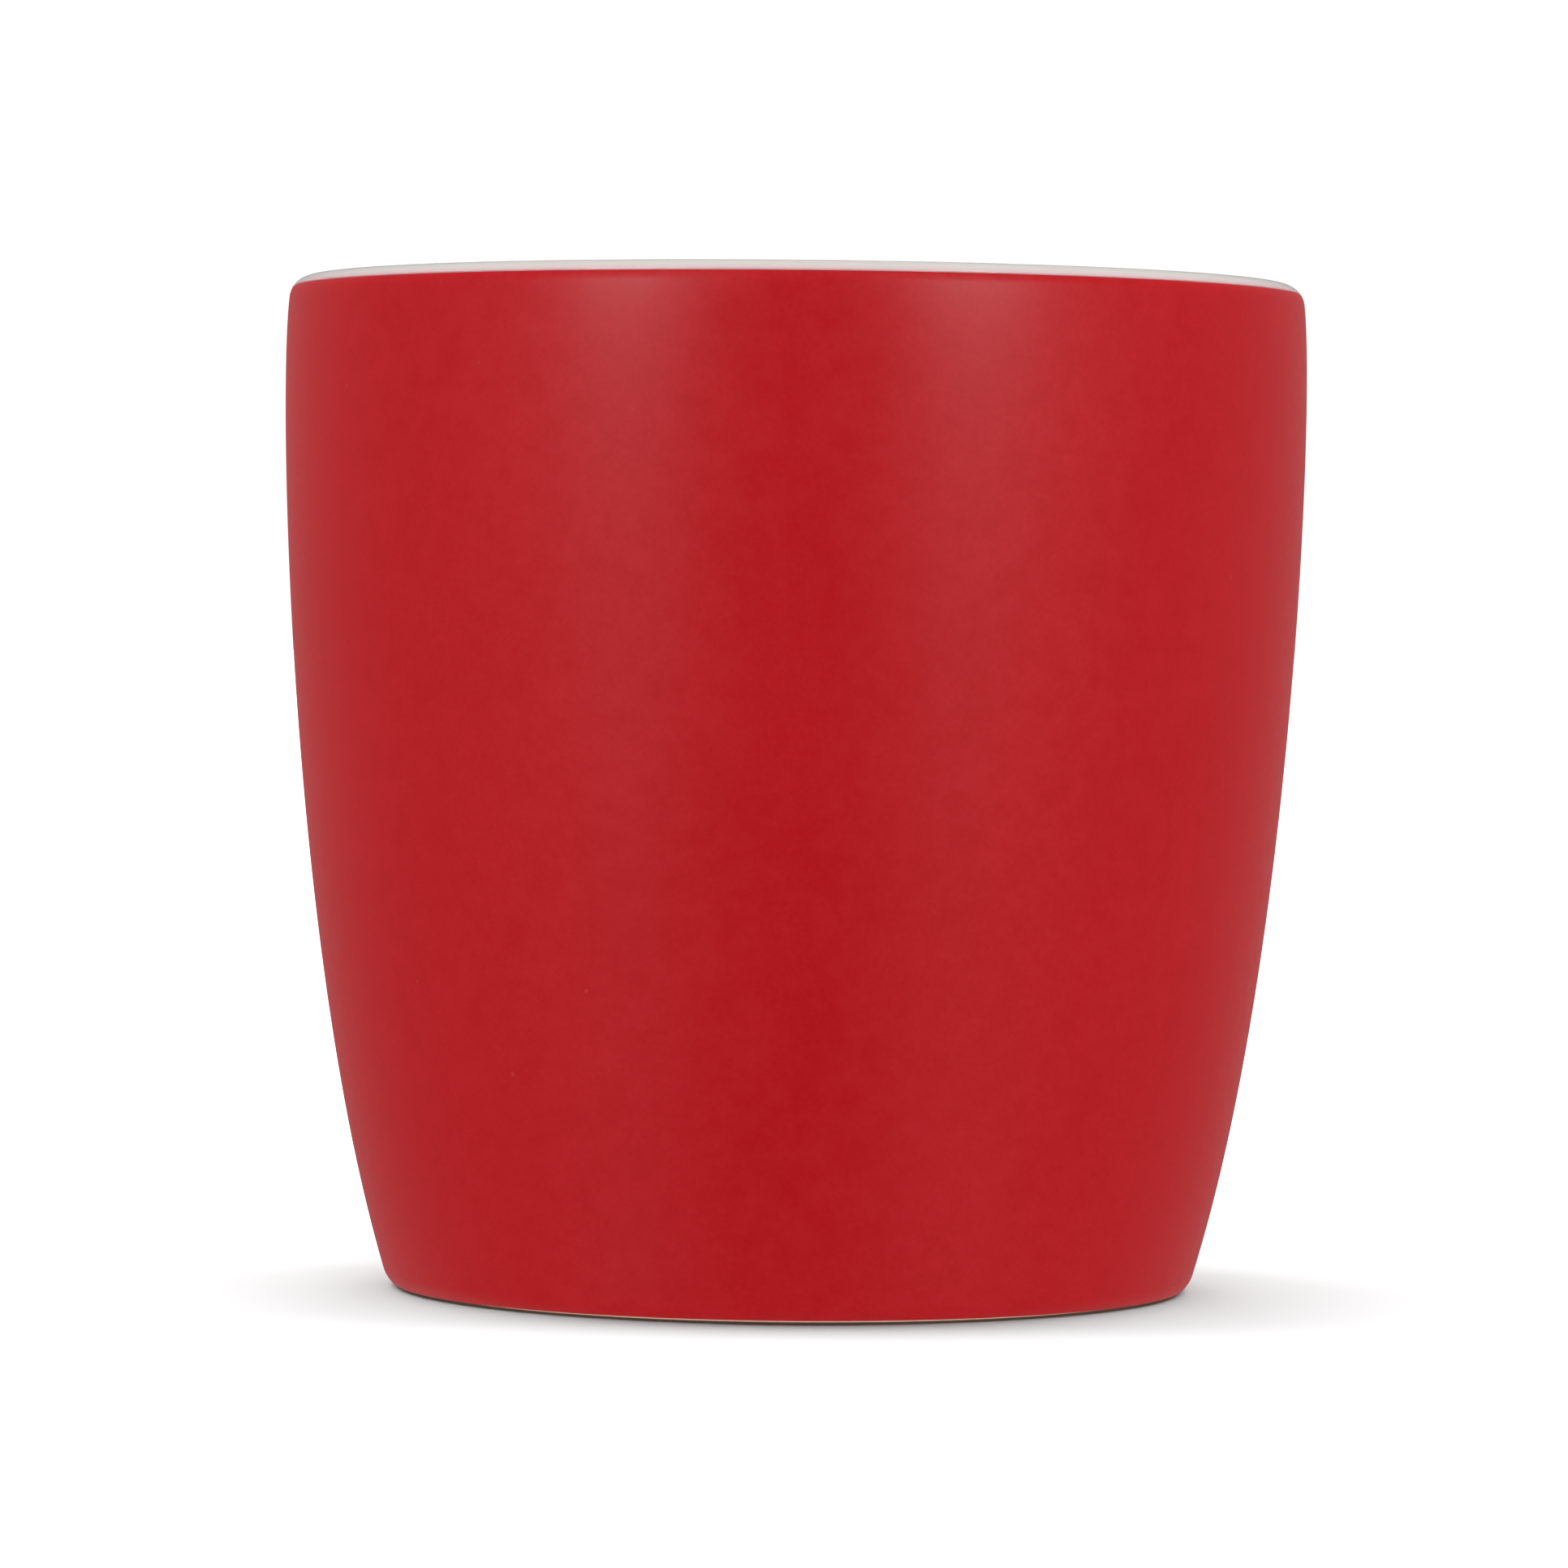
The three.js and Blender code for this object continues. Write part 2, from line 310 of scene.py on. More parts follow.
def floorRoundHeight(t):
    point, out = wallStation(t)
    return point.y - out.y * (cup["lowWallThickness"] + cup["floorRound"])


innerWallLowest = solveRising(floorRoundHeight, innerFloor + cup["floorRound"])


def innerWallStation(t):
    point, out = wallStation(t)
    share = smoothStep(innerWallLowest, 1, t)
    return point - out * blend(cup["lowWallThickness"], 2 * cup["lipRound"], share), -out


def recessStretch():
    lean = Vector((math.cos(cup["recessLean"]), math.sin(cup["recessLean"])))
    sideEnd = ringCentre - lean * cup["ringInnerRound"]
    bendHeight = cup["recessDepth"] - cup["recessRound"]
    sideRise = bendHeight + cup["recessRound"] * lean.y - sideEnd.y
    sideRun = sideRise * math.tan(cup["recessLean"])
    bendCentre = Vector((sideEnd.x - sideRun - cup["recessRound"] * lean.x, bendHeight))
    down = Vector((0, -1))
    ceiling = [
        (Vector((bendCentre.x * i / cup["flatRows"], cup["recessDepth"])), down)
        for i in range(cup["flatRows"])
    ]
    angles = quarterTurn, cup["recessLean"]
    bend = arcStations(bendCentre, cup["recessRound"], *angles, cup["roundRows"], -1)
    return [*ceiling, *bend, (sideEnd, -lean)]


def ringStretch():
    rows = cup["roundRows"]
    start = 2 * quarterTurn + cup["recessLean"]
    inner = arcStations(ringCentre, cup["ringInnerRound"], start, 3 * quarterTurn, rows)
    outer = arcStations(footCentre, cup["footRound"], -quarterTurn, footStopAngle, rows)
    return [*inner, *outer]


def redStretch():
    rows = cup["roundRows"]
    foot = arcStations(footCentre, cup["footRound"], footStopAngle, -footLean, rows)
    wall = [wallStation(i / cup["wallRows"]) for i in range(cup["wallRows"] + 1)]
    lip = arcStations(lipCentre, cup["lipRound"], lipLean, lipLineAngle, rows // 2)
    return joined(foot, wall, lip)


def whiteStretch(lipAngle):
    stop = 2 * quarterTurn + lipLean
    lip = arcStations(lipCentre, cup["lipRound"], lipAngle, stop, 2 * cup["roundRows"])
    rows = cup["wallRows"]
    wall = [innerWallStation(blend(1, innerWallLowest, i / rows)) for i in range(rows + 1)]
    point, out = wall[-1]
    bendCentre = point + out * cup["floorRound"]
    start = math.atan2(-out.y, -out.x)
    bend = arcStations(bendCentre, cup["floorRound"], start, -quarterTurn, cup["roundRows"], -1)
    up = Vector((0, 1))
    floor = [
        (Vector((bendCentre.x * (1 - i / cup["flatRows"]), innerFloor)), up)
        for i in range(cup["flatRows"] + 1)
    ]
    return joined(lip, wall, bend, floor)


def softened(line, out):
    # Rounds the corner where a coat ends; the line starts at that end and out points off the clay
    along = line[1] - line[0]
    along = (along - out * along.dot(out)).normalized()
    corner = coats["softCorner"]
    centre = line[0] + (along - out) * corner
    bend = []
    for i in range(coats["cornerRows"] + 1):
        angle = quarterTurn * i / coats["cornerRows"]
        bend.append(centre + (out * math.sin(angle) - along * math.cos(angle)) * corner)
    reach = coats["cornerReach"] * corner
    kept = next(i for i, point in enumerate(line) if (point - line[0]).length > reach)
    return bend + line[kept:]


def coatSurface(stretch, top, softStart, softStop):
    line = [moved(station, top) for station in stretch]
    if softStart:
        line = softened(line, stretch[0][1])
    if softStop:
        line = softened(line[::-1], stretch[-1][1])[::-1]
    return line


def clayOutline():
    return [moved(station, 0) for station in joined(
        recessStretch(), ringStretch(), redStretch(), whiteStretch(lipLineAngle)
    )]


def redOutline():
    stretch = redStretch()
    under = [moved(station, coats["gapToClay"]) for station in stretch]
    return coatSurface(stretch, redTop, True, True) + under[::-1]


def whiteOutline():
    # The white starts a hair past the line where the red ends, and reaches the axis inside
    stretch = whiteStretch(lipLineAngle + coats["gapToClay"] / cup["lipRound"])
    under = [moved(station, coats["gapToClay"]) for station in stretch]
    return under[::-1] + coatSurface(stretch, whiteTop, True, False)


def recessOutline():
    stretch = recessStretch()
    under = [moved(station, coats["gapToClay"]) for station in stretch]
    return coatSurface(stretch, recessTop, False, True) + under[::-1]


# Turns an outline, given as points (radius, 0, height), round the cup's upright axis

def makeTurningTree():
    tree, inputs = newShapeTree("turnedOutline", {
        "Outline": "Geometry",
        "Facets round": "Int",
        "Loop": "Int",
        "Axis Y": "Float",
        "Weld": "Float",
        "Finish": "Material",
    })
    outline = inputs["Outline"]
    size = addNode(tree, "GeometryNodeAttributeDomainSize", {"Geometry": outline})
    points = size.outputs["Point Count"]
    rows = calc(tree, "ADD", points, inputs["Loop"])
    grid, row, turn = gridRound(tree, inputs["Facets round"], rows)
    point = calc(tree, "MODULO", row, points)
    parts = partsOf(tree, hostPosition(tree, outline, point))
    x = calc(tree, "MULTIPLY", parts["X"], calc(tree, "SINE", turn))
    towardsFront = calc(tree, "MULTIPLY", parts["X"], calc(tree, "COSINE", turn))
    y = calc(tree, "SUBTRACT", inputs["Axis Y"], towardsFront)
    thin = hostValue(tree, outline, point, "thin")
    sockets = {"Geometry": grid, "Name": "thin", "Value": thin}
    marked = addNode(tree, "GeometryNodeStoreNamedAttribute", sockets, data_type="FLOAT")
    place = vectorFrom(tree, x, y, parts["Z"])
    skin = placeAndWeld(tree, marked.outputs[0], place, inputs["Weld"])
    endShapeTree(tree, skin, inputs["Finish"])
    return tree


turningTree = makeTurningTree()


def turnedPiece(name, outline, material, isLoop=False, edge=None):
    # The attribute thin is 1 at a coat's edge and falls to 0 where the coat is full. On the white
    # it sets where the lip is painted darker with shade and its edge pink with the red's
    # reflection
    thin = [0.0] * len(outline)
    if edge is not None:
        thin = [max(0.0, 1 - (point - edge).length / coats["thinReach"]) for point in outline]
    points = [(point.x, 0, point.y) for point in outline]
    return grow(name, hostLine(name, points, {"thin": thin}, isLoop), turningTree, {
        "Facets round": cup["facets"],
        "Loop": int(isLoop),
        "Axis Y": cupAxisY,
        "Weld": weldReach,
        "Finish": material,
    })


# Finishes, read from Object coordinates. A noise is (waves per metre, detail, roughness), specks
# are (cells per metre, size, share of the cells) and a bump is (strength, height)

def newFinish(name):
    material = bpy.data.materials.new(name)
    material.use_nodes = True
    tree = material.node_tree
    return material, tree, tree.nodes["Principled BSDF"]


def ownPlace(tree):
    return addNode(tree, "ShaderNodeTexCoord").outputs["Object"]


def noise(tree, where, scale, detail, roughness):
    sockets = {"Vector": where, "Scale": scale, "Detail": detail, "Roughness": roughness}
    return addNode(tree, "ShaderNodeTexNoise", sockets).outputs[0]


def spread(tree, value, low, high, toLow, toHigh):
    sockets = {
        "Value": value, "From Min": low, "From Max": high, "To Min": toLow, "To Max": toHigh,
    }
    return addNode(tree, "ShaderNodeMapRange", sockets).outputs[0]


def mixed(tree, share, first, second):
    node = addNode(tree, "ShaderNodeMix", data_type="RGBA")
    give(node.inputs["Factor"], share)
    give(next(s for s in node.inputs if s.enabled and s.name == "A"), first)
    give(next(s for s in node.inputs if s.enabled and s.name == "B"), second)
    return next(s for s in node.outputs if s.enabled)


speckCore = 0.6  # a speck is full up to this share of its size


def specks(tree, where, scale, size, share):
    # Round specks in some of the cells of a cell pattern: 1 in a speck, 0 elsewhere
    cells = addNode(tree, "ShaderNodeTexVoronoi", {"Vector": where, "Scale": scale})
    pick = partsOf(tree, cells.outputs["Color"])["X"]
    chosen = calc(tree, "LESS_THAN", pick, share)
    dot = spread(tree, cells.outputs["Distance"], size * speckCore, size, 1, 0)
    return calc(tree, "MULTIPLY", dot, chosen)


def bumped(tree, height, bump, under=None):
    strength, distance = bump
    sockets = {"Height": height, "Strength": strength, "Distance": distance}
    node = addNode(tree, "ShaderNodeBump", sockets)
    if under is not None:
        give(node.inputs["Normal"], under)
    return node.outputs[0]


redLook = {
    "deep": (0.381, 0.0057, 0.0086, 1),
    "light": (0.415, 0.0097, 0.0138, 1),
    "cloud": (70, 3, 0.5),
    "mottle": (500, 4, 0.7),
    "grain": (2600, 2, 0.6),
    "shares": (0.14, 0.46, 0.40),  # of cloud, mottle and grain in how much light red shows
    "lightRange": (0.4, 0.6),  # where their sum starts to be light, and is light in full
    "specks": (150, 0.022, 0.05),
    "speckTone": (0.72, 0.30, 0.28, 1),
    "roughness": (0.35, 0.40),
    "roughnessRange": (0.35, 0.65),  # the mottle over which the roughness rises
    "specular": 0.15,
    "waves": (0.25, 0.06 * mm),
    "tooth": (0.35, 0.012 * mm),
    "pits": (345, 0.03, 0.06),
    "pitDepth": (-0.5, 0.02 * mm),
}

# A pip is the same glaze, drawn thin over a grain, so that it is paler
pipLook = {**redLook, "deep": (0.43, 0.017, 0.019, 1), "light": (0.49, 0.029, 0.029, 1)}


def makeRedGlaze(name, look):
    material, tree, shader = newFinish(name)
    where = ownPlace(tree)
    cloud, mottle, grain = (
        noise(tree, where, *look[layer]) for layer in ("cloud", "mottle", "grain")
    )
    cloudShare, mottleShare, grainShare = look["shares"]
    share = calc(tree, "MULTIPLY", cloud, cloudShare)
    share = calc(tree, "MULTIPLY_ADD", mottle, mottleShare, share)
    share = calc(tree, "MULTIPLY_ADD", grain, grainShare, share)
    share = spread(tree, share, *look["lightRange"], 0, 1)
    body = mixed(tree, share, look["deep"], look["light"])
    speck = specks(tree, where, *look["specks"])
    give(shader.inputs["Base Color"], mixed(tree, speck, body, look["speckTone"]))
    roughness = spread(tree, mottle, *look["roughnessRange"], *look["roughness"])
    give(shader.inputs["Roughness"], roughness)
    shader.inputs["Specular IOR Level"].default_value = look["specular"]
    waves = bumped(tree, cloud, look["waves"])
    tooth = bumped(tree, grain, look["tooth"], waves)
    pits = specks(tree, where, *look["pits"])
    give(shader.inputs["Normal"], bumped(tree, pits, look["pitDepth"], tooth))
    return material


whiteLook = {
    "full": (0.73, 0.705, 0.645, 1),
    "cool": (0.69, 0.675, 0.625, 1),
    "lip": (0.555, 0.523, 0.492, 1),  # thin over the lip, so that the clay greys it; partly painted shade too, which keeps the lip dimmer than the inside under the same lamps
    "edge": (0.593, 0.406, 0.423, 1),  # thinnest, so greyer, and pink with a painted reflection of the red beside it
    "cloud": (45, 3, 0.5),
    "cloudRange": (0.35, 0.65),
    "thinLipShadeRange": (0.05, 0.45),  # how thin the coat is where the lip's greyed and painted-shade tone sets in, and is full
    "edgeReflectionRange": (0.78, 0.98),  # the same for the edge's tone, its painted reflection of the red
    "roughness": (0.08, 0.14),
    "waves": (0.2, 0.08 * mm),
    "peel": (330, 1, 0.5),
    "peelBump": (0.15, 0.02 * mm),
}


def makeWhiteGlaze(look):
    material, tree, shader = newFinish("glossyWhiteGlaze")
    where = ownPlace(tree)
    cloud = noise(tree, where, *look["cloud"])
    coolness = spread(tree, cloud, *look["cloudRange"], 0, 1)
    body = mixed(tree, coolness, look["full"], look["cool"])
    thin = addNode(tree, "ShaderNodeAttribute", attribute_name="thin").outputs["Fac"]
    # Over the lip the white is greyed by its thin coat and darkened further with painted shade
    thinAndShadedLip = mixed(tree, spread(tree, thin, *look["thinLipShadeRange"], 0, 1), body, look["lip"])
    # At its edge the white is tinted pink, a painted reflection of the red beside it
    redReflectionShare = spread(tree, thin, *look["edgeReflectionRange"], 0, 1)
    give(shader.inputs["Base Color"], mixed(tree, redReflectionShare, thinAndShadedLip, look["edge"]))
    roughness = spread(tree, cloud, *look["cloudRange"], *look["roughness"])
    give(shader.inputs["Roughness"], roughness)
    waves = bumped(tree, cloud, look["waves"])
    peel = noise(tree, where, *look["peel"])
    give(shader.inputs["Normal"], bumped(tree, peel, look["peelBump"], waves))
    return material


clayLook = {
    "pale": (0.66, 0.475, 0.345, 1),
    "warm": (0.56, 0.385, 0.265, 1),
    "cloud": (160, 4, 0.5),
    "grain": (2200, 3, 0.65),
    "warmRange": (0.35, 0.65),
    "iron": (420, 0.07, 0.12),
    "ironTone": (0.19, 0.10, 0.06, 1),
    "roughness": (0.78, 0.92),
    "grainRange": (0.3, 0.7),
    "specular": 0.3,
    "tooth": (0.6, 0.04 * mm),
}


def makeBareClay(look):
    material, tree, shader = newFinish("bareFiredClay")
    where = ownPlace(tree)
    cloud = noise(tree, where, *look["cloud"])
    grain = noise(tree, where, *look["grain"])
    warmth = calc(tree, "MULTIPLY", calc(tree, "ADD", cloud, grain), 0.5)
    warmth = spread(tree, warmth, *look["warmRange"], 0, 1)
    iron = specks(tree, where, *look["iron"])
    body = mixed(tree, warmth, look["pale"], look["warm"])
    give(shader.inputs["Base Color"], mixed(tree, iron, body, look["ironTone"]))
    roughness = spread(tree, grain, *look["grainRange"], *look["roughness"])
    give(shader.inputs["Roughness"], roughness)
    shader.inputs["Specular IOR Level"].default_value = look["specular"]
    give(shader.inputs["Normal"], bumped(tree, grain, look["tooth"]))
    return material


redGlaze = makeRedGlaze("satinRedGlaze", redLook)
pipGlaze = makeRedGlaze("paleRedPips", pipLook)
whiteGlaze = makeWhiteGlaze(whiteLook)
bareClay = makeBareClay(clayLook)
print("finishes made")

clayCup = turnedPiece("clayCup", clayOutline(), bareClay)
redCoat = turnedPiece("redCupCoat", redOutline(), redGlaze, isLoop=True)
whiteEdge = moved(whiteStretch(lipLineAngle)[0], whiteTop)
whiteCoat = turnedPiece("whiteLining", whiteOutline(), whiteGlaze, edge=whiteEdge)
recessCoat = turnedPiece("recessCoat", recessOutline(), whiteGlaze)


# The handle: an oval section along one curve that leaves the wall square at both roots,
# with a round fillet of glaze that runs out into the wall's coat
handle = {
    "width": 12.6 * mm,
    "thickness": 7.4 * mm,
    "squareness": 2.3,  # 2 is an ellipse, more is boxier
    "upperRootDrop": 15.3 * mm,  # from the lip down to the middle of the upper root
    "lowerRootHeight": 21.5 * mm,
    "upperReach": 43 * mm,
    "lowerReach": 36 * mm,
    "flareWidth": 2.4 * mm,
    "flareThickness": 2.6 * mm,
    "flareLength": 11 * mm,
    "lineStart": 1.32 * mm,  # slip and clearances between the clay wall and the handle's clay
    "fillet": 2.2 * mm,
    "filletRows": 10,
    "rimSpread": 0.3 * mm,  # its closed end is this much wider than the foot of the fillet
    "rimSunk": 0.02 * mm,  # and turns inwards this far under the wall's coat
    "hugLength": 9 * mm,  # how far up the handle its rings still follow the wall's curve
    "sunk": 0.25 * mm,  # its closed end lies this deep in the wall's coat
    "rowStep": 0.9 * mm,
    "lengthMarks": 800,  # for measuring along the curve
    "facets": 96,
    "rayLift": 6 * mm,  # the rays at the wall start this far out
    "rayReach": 18 * mm,
}


def makeHandleTree():
    tree, inputs = newShapeTree("handleSkin", {
        "Line": "Geometry",
        "Facets round": "Int",
        "Half width": "Float",
        "Half thickness": "Float",
        "Squareness": "Float",
        "Flare width": "Float",
        "Flare thickness": "Float",
        "Ray lift": "Float",
        "Ray reach": "Float",
        "Wall": "Object",
        "Weld": "Float",
        "Finish": "Material",
    })
    line = inputs["Line"]
    size = addNode(tree, "GeometryNodeAttributeDomainSize", {"Geometry": line})
    grid, row, turn = gridRound(tree, inputs["Facets round"], size.outputs["Point Count"])
    centre = hostPosition(tree, line, row)
    along = hostValue(tree, line, row, "along", "FLOAT_VECTOR")
    rootOut = hostValue(tree, line, row, "rootOut", "FLOAT_VECTOR")
    height, flare, skirt, hug, share = (
        hostValue(tree, line, row, name) for name in ("height", "flare", "skirt", "hug", "share")
    )
    halfWidth = calc(
        tree, "ADD", inputs["Half width"], calc(tree, "MULTIPLY", inputs["Flare width"], flare)
    )
    halfThickness = calc(
        tree, "ADD", inputs["Half thickness"],
        calc(tree, "MULTIPLY", inputs["Flare thickness"], flare),
    )
    power = calc(tree, "DIVIDE", 2, inputs["Squareness"])
    edgePower = calc(tree, "SUBTRACT", 2, power)
    cosine = calc(tree, "COSINE", turn)
    sine = calc(tree, "MULTIPLY", calc(tree, "SINE", turn), -1)

    def signedPower(value, exponent):
        size = calc(tree, "POWER", calc(tree, "ABSOLUTE", value), exponent)
        return calc(tree, "MULTIPLY", calc(tree, "SIGN", value), size)

    # The oval, pushed out along its own edge normal by the skirt of the fillet
    oval = vectorFrom(
        tree,
        calc(tree, "MULTIPLY", halfWidth, signedPower(cosine, power)),
        calc(tree, "MULTIPLY", halfThickness, signedPower(sine, power)),
        0,
    )
    edgeOut = vectorFrom(
        tree,
        calc(tree, "DIVIDE", signedPower(cosine, edgePower), halfWidth),
        calc(tree, "DIVIDE", signedPower(sine, edgePower), halfThickness),
        0,
    )
    pushed = scaled(tree, vectorCalc(tree, "NORMALIZE", edgeOut), skirt)
    section = partsOf(tree, scaled(tree, vectorCalc(tree, "ADD", oval, pushed), share))
    alongParts = partsOf(tree, along)
    outward = vectorFrom(
        tree, 0, calc(tree, "MULTIPLY", alongParts["Z"], -1), alongParts["Y"]
    )
    across = vectorFrom(tree, section["X"], 0, 0)
    flat = vectorCalc(tree, "ADD", centre, across)
    flat = vectorCalc(tree, "ADD", flat, scaled(tree, outward, section["Y"]))

    # Near a root, each point drops along the root until it is as far off the wall as its row says
    wall = addNode(
        tree, "GeometryNodeObjectInfo", {"Object": inputs["Wall"]}, transform_space="ORIGINAL"
    )
    ray = addNode(tree, "GeometryNodeRaycast", {
        "Target Geometry": wall.outputs["Geometry"],
        "Source Position": vectorCalc(
            tree, "ADD", flat, scaled(tree, rootOut, inputs["Ray lift"])
        ),
        "Ray Direction": scaled(tree, rootOut, -1),
        "Ray Length": inputs["Ray reach"],
    })
    offWall = calc(tree, "SUBTRACT", ray.outputs["Hit Distance"], inputs["Ray lift"])
    tooHigh = calc(tree, "SUBTRACT", offWall, height)
    drop = calc(tree, "MULTIPLY", calc(tree, "MULTIPLY", tooHigh, hug), ray.outputs["Is Hit"])
    place = vectorCalc(tree, "SUBTRACT", flat, scaled(tree, rootOut, drop))
    skin = placeAndWeld(tree, grid, place, inputs["Weld"])
    endShapeTree(tree, skin, inputs["Finish"])
    return tree


def rootAt(height):
    t = solveRising(lambda share: curvePoint(wallPulls, share).y, height)
    point, out = wallStation(t)
    place = Vector((0, cupAxisY + point.x, point.y))
    return place, Vector((0, out.x, out.y))


upperRoot, upperOut = rootAt(cup["height"] - handle["upperRootDrop"])
lowerRoot, lowerOut = rootAt(handle["lowerRootHeight"])
handlePulls = [
    upperRoot + upperOut * handle["lineStart"],
    upperRoot + upperOut * (handle["lineStart"] + handle["upperReach"]),
    lowerRoot + lowerOut * (handle["lineStart"] + handle["lowerReach"]),
    lowerRoot + lowerOut * handle["lineStart"],
]


def handleStations():
    # The middle, direction and distance from its root of each row, from upper to lower root
    steps = handle["lengthMarks"]
    marks = [curvePoint(handlePulls, i / steps) for i in range(steps + 1)]
    lengths = [0.0]
    for before, after in zip(marks, marks[1:]):
        lengths.append(lengths[-1] + (after - before).length)
    straight = handle["lineStart"] - redTop  # from the wall's coat to the start of the curve
    total = lengths[-1] + 2 * straight

    def middleAt(distance):
        onCurve = distance - straight
        if onCurve <= 0:
            return upperRoot + upperOut * (redTop + distance), upperOut
        if onCurve >= lengths[-1]:
            return lowerRoot + lowerOut * (redTop + total - distance), -lowerOut
        step = next(i for i, length in enumerate(lengths) if length > onCurve)
        share = (onCurve - lengths[step - 1]) / (lengths[step] - lengths[step - 1])
        t = (step - 1 + share) / steps
        return curvePoint(handlePulls, t), curveDirection(handlePulls, t)

    fillet, sunk = handle["fillet"], -handle["sunk"]
    rim = fillet + handle["rimSpread"]
    # Each row near a root: height off the wall, skirt of the fillet, share of the section
    rootRows = [(sunk, rim, share) for share in (0.0, 0.5, 1.0)]
    rootRows.append((-handle["rimSunk"], rim, 1.0))
    for i in range(handle["filletRows"] + 1):
        angle = quarterTurn * i / handle["filletRows"]
        rootRows.append((fillet * (1 - math.cos(angle)), fillet * (1 - math.sin(angle)), 1.0))
    free = total - 2 * fillet
    count = round(free / handle["rowStep"])
    rows = [(height, skirt, share, height) for height, skirt, share in rootRows]
    for i in range(1, count):
        distance = fillet + free * i / count
        rows.append((min(distance, total - distance), 0.0, 1.0, distance))
    rows += [(height, skirt, share, total - height) for height, skirt, share in reversed(rootRows)]

    names = "along", "rootOut", "height", "flare", "skirt", "hug", "share"
    values = {name: [] for name in names}
    middles = []
    for height, skirt, share, distance in rows:
        middle, along = middleAt(distance)
        middles.append(middle)
        onClay = max(0.0, height - straight)
        flare = max(0.0, 1 - onClay / handle["flareLength"]) ** 2
        values["along"].append(along)
        values["rootOut"].append(upperOut if distance < total / 2 else lowerOut)
        values["height"].append(height)
        values["flare"].append(flare)
        values["skirt"].append(skirt)
        values["hug"].append(1 - smoothStep(fillet, fillet + handle["hugLength"], height))
        values["share"].append(share)
    return middles, values


middles, rowValues = handleStations()
redHandle = grow("redHandle", hostLine("redHandle", middles, rowValues), makeHandleTree(), {
    "Facets round": handle["facets"],
    "Half width": handle["width"] / 2 + redTop,
    "Half thickness": handle["thickness"] / 2 + redTop,
    "Squareness": handle["squareness"],
    "Flare width": handle["flareWidth"],
    "Flare thickness": handle["flareThickness"],
    "Ray lift": handle["rayLift"],
    "Ray reach": handle["rayReach"],
    "Wall": redCoat,
    "Weld": weldReach,
    "Finish": redGlaze,
})

# Pips: grains under the red glaze, each a low dome, where the photo shows them and by the same
# count on the wall's hidden half
pips = {
    "seen": (  # degrees round from the front, towards +X, and millimetres above the table
        (-58.3, 78.6), (-50.1, 28.1), (-36.1, 80.3), (-35.5, 20.7), (-24.4, 28.0), (56.3, 63.0),
        (59.8, 8.0),
    ),
    "smallest": 0.12 * mm,
    "largest": 0.19 * mm,
    "flatness": 0.16,
    "perSquareMetre": 620,
    "hiddenFrom": 8 * mm,  # the scatter starts this far behind the cup's axis
    "seed": 11,
    "segments": 12,
    "rings": 8,
}


def makePipTree():
    tree, inputs = newShapeTree("scatteredPips", {
        "Seen points": "Geometry",
        "Wall": "Object",
        "Axis Y": "Float",
        "Hidden from": "Float",
        "Per square metre": "Float",
        "Seed": "Int",
        "Smallest": "Float",
        "Largest": "Float",
        "Flatness": "Float",
        "Segments": "Int",
        "Rings": "Int",
        "Finish": "Material",
    })
    sockets = {"Segments": inputs["Segments"], "Rings": inputs["Rings"], "Radius": 1.0}
    pip = addNode(tree, "GeometryNodeMeshUVSphere", sockets).outputs["Mesh"]
    wall = addNode(
        tree, "GeometryNodeObjectInfo", {"Object": inputs["Wall"]}, transform_space="ORIGINAL"
    )
    # On the hidden half they are scattered over the coat's outer side
    parts = partsOf(tree, addNode(tree, "GeometryNodeInputPosition").outputs[0])
    normal = partsOf(tree, addNode(tree, "GeometryNodeInputNormal").outputs[0])
    behind = calc(tree, "SUBTRACT", parts["Y"], inputs["Axis Y"])
    isBehind = calc(tree, "GREATER_THAN", behind, inputs["Hidden from"])
    outward = calc(tree, "MULTIPLY_ADD", normal["Y"], behind, calc(
        tree, "MULTIPLY", normal["X"], parts["X"]
    ))
    isOuter = calc(tree, "GREATER_THAN", outward, 0)
    scattered = addNode(tree, "GeometryNodeDistributePointsOnFaces", {
        "Mesh": wall.outputs["Geometry"],
        "Selection": calc(tree, "MULTIPLY", isBehind, isOuter),
        "Density": inputs["Per square metre"],
        "Seed": inputs["Seed"],
    })
    out = addNode(
        tree, "GeometryNodeInputNamedAttribute", {"Name": "out"}, data_type="FLOAT_VECTOR"
    )
    stood = addNode(
        tree, "FunctionNodeAlignRotationToVector", {"Vector": out.outputs[0]}, axis="Z"
    )
    sockets = {"Min": inputs["Smallest"], "Max": inputs["Largest"], "Seed": inputs["Seed"]}
    sizes = addNode(tree, "FunctionNodeRandomValue", sockets, data_type="FLOAT")
    radius = next(s for s in sizes.outputs if s.enabled)
    size = vectorFrom(tree, radius, radius, calc(tree, "MULTIPLY", radius, inputs["Flatness"]))
    placed = [
        addNode(tree, "GeometryNodeInstanceOnPoints", {
            "Points": points, "Instance": pip, "Rotation": turn, "Scale": size,
        }).outputs[0]
        for points, turn in (
            (inputs["Seen points"], stood.outputs[0]),
            (scattered.outputs["Points"], scattered.outputs["Rotation"]),
        )
    ]
    both = addNode(tree, "GeometryNodeJoinGeometry", {"Geometry": placed[0]})
    give(both.inputs[0], placed[1])
    endShapeTree(tree, both.outputs[0], inputs["Finish"])
    return tree


def seenPips():
    places, outs = [], []
    for degrees, height in pips["seen"]:
        t = solveRising(lambda share: curvePoint(wallPulls, share).y, height * mm)
        point, out = wallStation(t)
        point = point + out * redTop
        sine, cosine = math.sin(math.radians(degrees)), math.cos(math.radians(degrees))
        places.append((point.x * sine, cupAxisY - point.x * cosine, point.y))
        outs.append((out.x * sine, -out.x * cosine, out.y))
    return hostLine("glazePips", places, {"out": outs})


